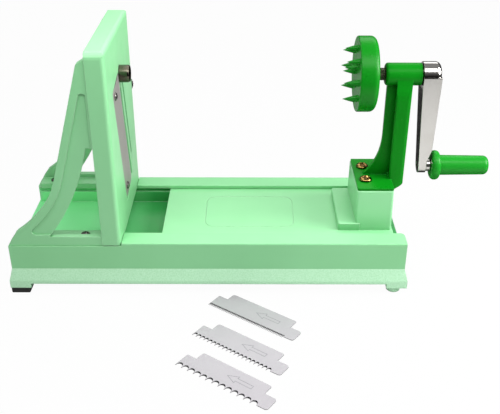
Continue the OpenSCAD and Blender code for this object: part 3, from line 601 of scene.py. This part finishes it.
mint = plastic("mint_plastic", MINT, 0.8 * MM, bump=0.5, shine=0.6, highlight_color=MINT_EDGE_HIGHLIGHT)
mint_base = plastic(
    "mint_blasted_foot", MINT_BASE, 0.8 * MM, bump=0.5, shine=0.35, highlight_color=MINT_EDGE_HIGHLIGHT,
)
mint_shade = plastic("mint_shade", MINT_SHADE, 0.3 * MM, bump=0.3, shine=0.1)
green = plastic("green_plastic", GREEN, 0.6 * MM, bump=0.3, shine=0.1, highlight_color=GREEN_EDGE_HIGHLIGHT)
green_knob_lit = plastic(
    "green_knob_lit", GREEN_KNOB_LIT, 0.6 * MM, bump=0.3, shine=0.2, highlight_color=GREEN_EDGE_HIGHLIGHT,
)
green_disc = plastic("green_disc", GREEN, 0.2 * MM, bump=0.3, shine=0.2, highlight_color=GREEN_EDGE_HIGHLIGHT)
rubber = plastic("black_rubber", RUBBER, 0.5 * MM, bump=0.6, shine=0.5)
print("plastics:", mint.name, mint_base.name, green.name, rubber.name)

# %% [markdown]
# The metals differ in colour, gloss and the way they were finished: chrome plate on the arm,
# ground steel on the blade, yellow zinc on the two large screws, dark polished steel on the
# tube, and bronze in the bearings. The combs are so pale and satin that little of their shine
# is metallic. Stretch says how many cells of noise a metre holds along each axis.

# %% Metal finishes


def metal(name, color, stain, roughness, stretch, radius=0.3 * MM, bump=0.05, metallic=1.0):
    values = {
        "Color": (*color, 1), "Stain": (*stain, 1), "Roughness": roughness, "Stretch": stretch,
    }
    return finish(name, ground_metal, values, radius, bump, Metallic=metallic)


chrome = metal(
    "chrome_plate", (0.66, 0.64, 0.61), (0.57, 0.55, 0.51), roughness=0.1,
    stretch=(900, 900, 200), radius=0.8 * MM, bump=0.03,
)
blade_steel = metal(
    "blade_steel", (0.37, 0.34, 0.33), (0.30, 0.27, 0.26), roughness=0.42,
    stretch=(3000, 3000, 60), radius=0.2 * MM, bump=0.06, metallic=0.3,
)
comb_steel = metal(
    "comb_steel", (0.475, 0.45, 0.48), (0.43, 0.41, 0.44), roughness=0.45,
    stretch=(500, 500, 500), radius=0.1 * MM, bump=0.04, metallic=0.15,
)
# Near-black metal for the crescents round the roots of the comb teeth: painted shade.
root_shade = metal(
    "root_shade", (0.012, 0.012, 0.014), (0.03, 0.03, 0.032), roughness=0.35,
    stretch=(900, 900, 900), radius=0.1 * MM,
)
stamped_line = metal(
    "stamped_line", (0.30, 0.29, 0.32), (0.27, 0.26, 0.28), roughness=0.5,
    stretch=(900, 900, 900), radius=0.1 * MM, metallic=0.2,
)
screw_steel = metal(
    "screw_steel", (0.30, 0.28, 0.27), (0.16, 0.14, 0.13), roughness=0.22,
    stretch=(900, 900, 900),
)
dark_steel = metal(
    "dark_steel", (0.13, 0.12, 0.09), (0.06, 0.055, 0.04), roughness=0.2,
    stretch=(300, 2500, 2500),
)
yellow_zinc = metal(
    "yellow_zinc", (0.34, 0.21, 0.07), (0.12, 0.07, 0.02), roughness=0.12,
    stretch=(900, 900, 900), radius=0.2 * MM,
)
bronze = metal(
    "bush_bronze", (0.48, 0.3, 0.14), (0.3, 0.18, 0.08), roughness=0.4,
    stretch=(1500, 1500, 1500), radius=0.2 * MM, bump=0.1,
)
print("metals:", chrome.name, blade_steel.name, comb_steel.name, dark_steel.name)

# %% [markdown]
# The solids already have the real shapes, so none is modelled again. Each only gets its
# finish, by the piece that it is on the real object.

# %% Dress the solids
FINISH_OF = {
    mint_base: ["base_channel"],
    mint: ["blade_tower", "carriage"],
    green: ["crank_bracket"],
    green_disc: ["spiked_disc"],
    green_knob_lit: ["crank_knob"],
    rubber: ["rubber_foot_front", "rubber_foot_back"],
    chrome: ["crank_arm"],
    blade_steel: ["peeling_blade"],
    comb_steel: ["comb_blade_fine", "comb_blade_medium", "comb_blade_coarse"],
    screw_steel: [
        "tower_screw_1", "tower_screw_2", "tower_screw_3", "tower_screw_4", "blade_screw_top",
        "blade_screw_bottom", "comb_clamp_screw", "arm_washer", "knob_screw", "drive_shaft",
    ],
    dark_steel: ["core_tube", "tube_ring", "disc_collar"],
    yellow_zinc: ["bracket_screw_front", "bracket_screw_back"],
    bronze: ["shaft_bush_disc", "shaft_bush_arm"],
}


def dress(node, material):
    slots = nodes[node].material_slots
    for slot in slots:
        slot.material = material
    if not slots:
        nodes[node].data.materials.append(material)


for material, names in FINISH_OF.items():
    for name in names:
        dress(name, material)
print("dressed:", sum(len(names) for names in FINISH_OF.values()), "of", len(nodes))

# %% [markdown]
# The fine pieces are made as meshes, vertex by vertex. They share one helper that turns a
# bmesh into a piece, gives it its finish, and lets it ride on the body that carries it, so
# that it moves when the joints do.

# %% A helper for new pieces


def make_piece(name, bm, material, body):
    bmesh.ops.recalc_face_normals(bm, faces=bm.faces)
    mesh = bpy.data.meshes.new(name)
    bm.to_mesh(mesh)
    bm.free()
    piece = bpy.data.objects.new(name, mesh)
    bpy.context.scene.collection.objects.link(piece)
    mesh.materials.append(material)
    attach(piece, body)
    return piece


def body_of(node):
    bodies = frame["record"]["behaviour"]["bodies"]
    return next(body for body, members in bodies.items() if node in members)


print("comb bodies:", [body_of(name) for name in FINISH_OF[comb_steel]])

# %% [markdown]
# A comb blade is punched from sheet steel, and it lies turned on the table. Its fine marks
# could be placed by eye, but each comb's own mesh gives the exact corner to measure from. The
# marks are narrow strips of metal, so a second helper makes a ribbon between two lines, open
# like a crescent or closed like a ring.

# %% Comb blade places
COMB_TURN = math.radians(-36)
COMB_W = 20.6 * MM
ALONG = Vector((math.cos(COMB_TURN), math.sin(COMB_TURN), 0))
ACROSS = Vector((-ALONG.y, ALONG.x, 0))
SUNK = 0.05 * MM
PROUD = 0.03 * MM


def comb_corner(node):
    points = [vertex.co for vertex in nodes[node].data.vertices]
    left = min(point.dot(ALONG) for point in points)
    back = max(point.dot(ACROSS) for point in points)
    top = max(point.z for point in points)
    return ALONG * left + ACROSS * (back - COMB_W) + Vector((0, 0, top))


def on_comb(corner):
    return lambda u, v, z: corner + ALONG * u + ACROSS * v + Vector((0, 0, z))


def ribbon(bm, place, inner, outer, closed=False):
    rows = [
        [bm.verts.new(place(u, v, z)) for u, v in line]
        for line, z in ((inner, -SUNK), (inner, PROUD), (outer, PROUD), (outer, -SUNK))
    ]
    count = len(inner)
    for i in range(count if closed else count - 1):
        j = (i + 1) % count
        for a, b in zip(rows, rows[1:] + rows[:1]):
            bm.faces.new((a[i], a[j], b[j], b[i]))
    if not closed:
        for i in (0, count - 1):
            bm.faces.new([row[i] for row in rows])


print("fine comb starts at", [round(v, 4) for v in comb_corner("comb_blade_fine")])

# %% [markdown]
# The round roots between a comb's teeth are ground to a sharp edge. A dark crescent of shade
# lies round each root, which is what the eye sees of the teeth from a step away. It could be
# painted by a mask, but a thin crescent of near-black metal keeps its shape in every view, so
# that is the painted shade. Each is a ribbon between two arcs, widest at the middle of the root.

# %% Painted shade round the roots of the comb teeth
TEETH_OF = {"comb_blade_fine": 60, "comb_blade_medium": 20, "comb_blade_coarse": 13}
TOOTH_SPAN = 79 * MM
TOOTH_L = 4.6 * MM
TIP_SHARE = 0.16
TIP_MOST = TOOTH_L / 6
ROOT_BELOW = TOOTH_L * 0.55
ROOT_STEPS = 8
ROOT_SHADE_W = 1.25 * MM
ROOT_SHADE_SHARE = 0.85
ROOT_SHADE_END = 0.12


def root_shade_crescents(node, teeth):
    corner = comb_corner(node)
    pitch = TOOTH_SPAN / teeth
    root = (pitch - min(pitch * TIP_SHARE, TIP_MOST)) / 2
    rise = min(root, TOOTH_L / 2)
    wide = min(ROOT_SHADE_W, pitch * ROOT_SHADE_SHARE)
    bm = bmesh.new()
    for tooth in range(teeth):
        inner = []
        outer = []
        for i in range(ROOT_STEPS + 1):
            a = math.pi * i / ROOT_STEPS
            u = (tooth + 0.5) * pitch - root * math.cos(a)
            v = rise * math.sin(a) - ROOT_BELOW
            inner.append((u, v))
            outer.append((u, v + wide * (ROOT_SHADE_END + (1 - ROOT_SHADE_END) * math.sin(a))))
        ribbon(bm, on_comb(corner), inner, outer)
    return make_piece(node + "_roots", bm, root_shade, body_of(node))


for node, teeth in TEETH_OF.items():
    print(root_shade_crescents(node, teeth).name, teeth)

# %% [markdown]
# A plain arrow is stamped into each comb to show which way it goes in. It could be cut into
# the solid, but a stamp is only a hair deep and what shows is its dark outline. So it is a
# closed line round seven corners, and the ribbon helper gives the line its width.

# %% Arrows on the combs
ARROW_START = 42 * MM
ARROW_L = 23 * MM
ARROW_HEAD_L = 8 * MM
ARROW_HALF = 3.6 * MM
SHAFT_HALF = 1.5 * MM
ARROW_MIDDLE = 10.5 * MM
LINE_W = 0.45 * MM
LEAST_MITRE = 0.4


def arrow_outline():
    head = ARROW_START + ARROW_HEAD_L
    end = ARROW_START + ARROW_L
    half = [(head, ARROW_HALF), (head, SHAFT_HALF), (end, SHAFT_HALF)]
    front = [(u, ARROW_MIDDLE - v) for u, v in half]
    back = [(u, ARROW_MIDDLE + v) for u, v in reversed(half)]
    return [(ARROW_START, ARROW_MIDDLE)] + front + back


def grown(outline, step):
    moved = []
    for i, corner in enumerate(outline):
        here = Vector(corner)
        before = (here - Vector(outline[i - 1])).normalized()
        after = (Vector(outline[(i + 1) % len(outline)]) - here).normalized()
        sides = [Vector((edge.y, -edge.x)) for edge in (before, after)]
        mitre = (sides[0] + sides[1]).normalized()
        moved.append(here + mitre * step / max(mitre.dot(sides[0]), LEAST_MITRE))
    return moved


def stamped_arrow(node):
    inner = arrow_outline()
    bm = bmesh.new()
    ribbon(bm, on_comb(comb_corner(node)), inner, grown(inner, LINE_W), closed=True)
    return make_piece(node + "_arrow", bm, stamped_line, body_of(node))


for node in TEETH_OF:
    print(stamped_arrow(node).name)

# %% [markdown]
# The round pieces below could be turned from a profile, but each has a detail that runs round
# it unevenly. So each is a stack of rings of vertices, and one helper joins the rings into a
# closed skin. It ends flat, or in a fan round a tip.

# %% A helper for round pieces


def circle(count):
    return [2 * math.pi * i / count for i in range(count)]


def join_rings(bm, rings, tip=None):
    count = len(rings[0])
    for i in range(count):
        j = (i + 1) % count
        for a, b in zip(rings, rings[1:]):
            bm.faces.new((a[i], a[j], b[j], b[i]))
        if tip:
            bm.faces.new((tip, rings[0][i], rings[0][j]))
    if not tip:
        bm.faces.new(rings[0])
    bm.faces.new(rings[-1])


print("round helper ready")

# %% [markdown]
# The sleeve between the spiked disc and its bearing is a turned steel bush with a diamond
# knurl, so that fingers can hold the shaft still. The knurl is two families of helical
# grooves that cross and leave diamonds between them. Cutting them with booleans would be
# slow and rough, so the radius dips wherever one of two crossing waves passes through zero.

# %% Knurled sleeve
KNURL_DEPTH = 0.55 * MM
KNURL_STARTS = 9
SLEEVE_AROUND = 108
SLEEVE_ALONG = 30


def knurled_radius(radius, along, angle):
    left, right = (math.sin(KNURL_STARTS * (angle + way * along / radius)) for way in (-1, 1))
    return radius - KNURL_DEPTH * (1 - math.sqrt(abs(left * right)))


def knurled_sleeve():
    low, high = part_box("disc_collar")
    radius = (high.z - low.z) / 2
    middle = (low + high) / 2
    bm = bmesh.new()
    rings = []
    for i in range(SLEEVE_ALONG + 1):
        along = (high.x - low.x) * i / SLEEVE_ALONG
        ring = []
        for a in circle(SLEEVE_AROUND):
            r = knurled_radius(radius, along, a)
            place = (low.x + along, middle.y + r * math.cos(a), middle.z + r * math.sin(a))
            ring.append(bm.verts.new(place))
        rings.append(ring)
    join_rings(bm, rings)
    sleeve = make_piece("knurled_sleeve", bm, dark_steel, body_of("disc_collar"))
    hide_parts("disc_collar")
    return sleeve


print(knurled_sleeve().name)

# %% [markdown]
# Plastic enters the mould through a small gate, and where the gate is cut off, a round spot
# stays on the part. On the disc it sits on the rim, towards the viewer. A squashed sphere
# would have half its faces inside the rim, so a few rings of points make only a low dome.

# %% Gate spot on the disc rim
GATE_ANGLE = math.radians(133)
GATE_FROM_BACK = 8 * MM
GATE_R = 1.5 * MM
GATE_H = 0.5 * MM
GATE_SUNK = 0.2 * MM
GATE_AROUND = 20
GATE_RINGS = 5


def gate_spot():
    low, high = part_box("spiked_disc")
    middle = (low + high) / 2
    along = Vector((1, 0, 0))
    out = Vector((0, math.cos(GATE_ANGLE), math.sin(GATE_ANGLE)))
    sideways = along.cross(out)
    rim = (high.z - low.z) / 2 - GATE_SUNK
    centre = Vector((high.x - GATE_FROM_BACK, middle.y, middle.z)) + out * rim
    bm = bmesh.new()
    rings = []
    for i in range(GATE_RINGS):
        climb = math.pi / 2 * i / GATE_RINGS
        level = centre + out * GATE_H * math.sin(climb)
        r = GATE_R * math.cos(climb)
        rings.append([
            bm.verts.new(level + (along * math.cos(a) + sideways * math.sin(a)) * r)
            for a in circle(GATE_AROUND)
        ])
    join_rings(bm, rings)
    return make_piece("gate_spot", bm, green_disc, body_of("spiked_disc"))


print(gate_spot().name)

# %% [markdown]
# The two screws of the bracket have wide pan heads with a deep cross. A boolean could cut the
# cross, but a height over rings of points gives soft walls in one closed mesh: the dome's
# height, less the cross's depth where a point lies in one of its two arms.

# %% Height of a pan head
HEAD_H = 3.4 * MM
HEAD_BRIM = 1.1 * MM
DOME_FLAT = 2.4
DOME_FALL = 0.6
CROSS_DEPTH = 2.6 * MM
CROSS_REACH = 0.68
CROSS_WIDTH = 0.2
CROSS_TAPER = 0.5


def soft_step(value, soft=0.09):
    share = min(max(value / soft + 0.5, 0.0), 1.0)
    return share * share * (3 - 2 * share)


def head_height(share, angle):
    dome = HEAD_BRIM + (HEAD_H - HEAD_BRIM) * (1 - share ** DOME_FLAT) ** DOME_FALL
    u = abs(share * math.cos(angle))
    v = abs(share * math.sin(angle))
    arms = [soft_step(CROSS_REACH - a) * soft_step(CROSS_WIDTH - b) for a, b in ((u, v), (v, u))]
    return dome - CROSS_DEPTH * max(arms) * (1 - share * CROSS_TAPER)


print("cross floor above the seat in mm:", round(head_height(0.0, 0.0) / MM, 2))

# %% [markdown]
# Each head is one skin, from the middle of the cross over the dome and the brim to the end of
# its shank. It stands for the plain screw of the solids, so it fills the same place, and its
# faces are smooth apart from the flat end.

# %% Pan heads with a cross
SHANK_R = 2.4 * MM
HEAD_RINGS = 18
HEAD_AROUND = 64
CROSS_TURN = {
    "bracket_screw_front": math.radians(28),
    "bracket_screw_back": math.radians(52),
}


def pan_head(node, turn):
    low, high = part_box(node)
    middle = (low + high) / 2
    radius = (high.x - low.x) / 2
    seat = high.z - HEAD_H
    bm = bmesh.new()

    def ring(r, height_at):
        return [
            bm.verts.new((middle.x + r * math.cos(a), middle.y + r * math.sin(a), height_at(a)))
            for a in circle(HEAD_AROUND)
        ]

    tip = bm.verts.new((middle.x, middle.y, seat + head_height(0.0, 0.0)))
    shares = [(i + 1) / HEAD_RINGS for i in range(HEAD_RINGS)]
    rings = [ring(radius * s, lambda a: seat + head_height(s, a - turn)) for s in shares]
    rings += [ring(r, lambda a: z) for r, z in ((radius, seat), (SHANK_R, seat), (SHANK_R, low.z))]
    join_rings(bm, rings, tip)
    head = make_piece(node + "_pan", bm, yellow_zinc, body_of(node))
    for face in head.data.polygons:
        face.use_smooth = len(face.vertices) <= 4
    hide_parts(node)
    return head


for node, turn in CROSS_TURN.items():
    print(pan_head(node, turn).name)

# %% [markdown]
# The comb slot is a narrow slit beside the blade. From the front the face is seen almost edge
# on, and all that shows of the slit is its shade: one thin deep green line. That line is
# painted shade, a ribbon of dark mint round the slit, placed on the face in the blade's
# leaning frame.

# %% Painted shade round the comb slot
BLADE_LEAN = math.radians(13.3)
SLOT_SIDE = 7.78 * MM
SLOT_HALF = 0.6 * MM
SLOT_TOP = -10.9 * MM
SLOT_BOTTOM = -90.5 * MM
SHADE_LINE_W = 1.8 * MM


def on_tower_face():
    low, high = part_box("core_tube")
    axis = (low + high) / 2
    axis.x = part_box("blade_tower")[1].x
    across = Vector((0, math.cos(BLADE_LEAN), math.sin(BLADE_LEAN)))
    up = Vector((0, -math.sin(BLADE_LEAN), math.cos(BLADE_LEAN)))
    return lambda u, v, z: axis + across * u + up * v + Vector((z, 0, 0))


def slot_shade_line():
    left, right = SLOT_SIDE - SLOT_HALF, SLOT_SIDE + SLOT_HALF
    inner = [(left, SLOT_BOTTOM), (right, SLOT_BOTTOM), (right, SLOT_TOP), (left, SLOT_TOP)]
    bm = bmesh.new()
    ribbon(bm, on_tower_face(), inner, grown(inner, SHADE_LINE_W), closed=True)
    return make_piece("slot_shade_line", bm, mint_shade, body_of("blade_tower"))


print(slot_shade_line().name)
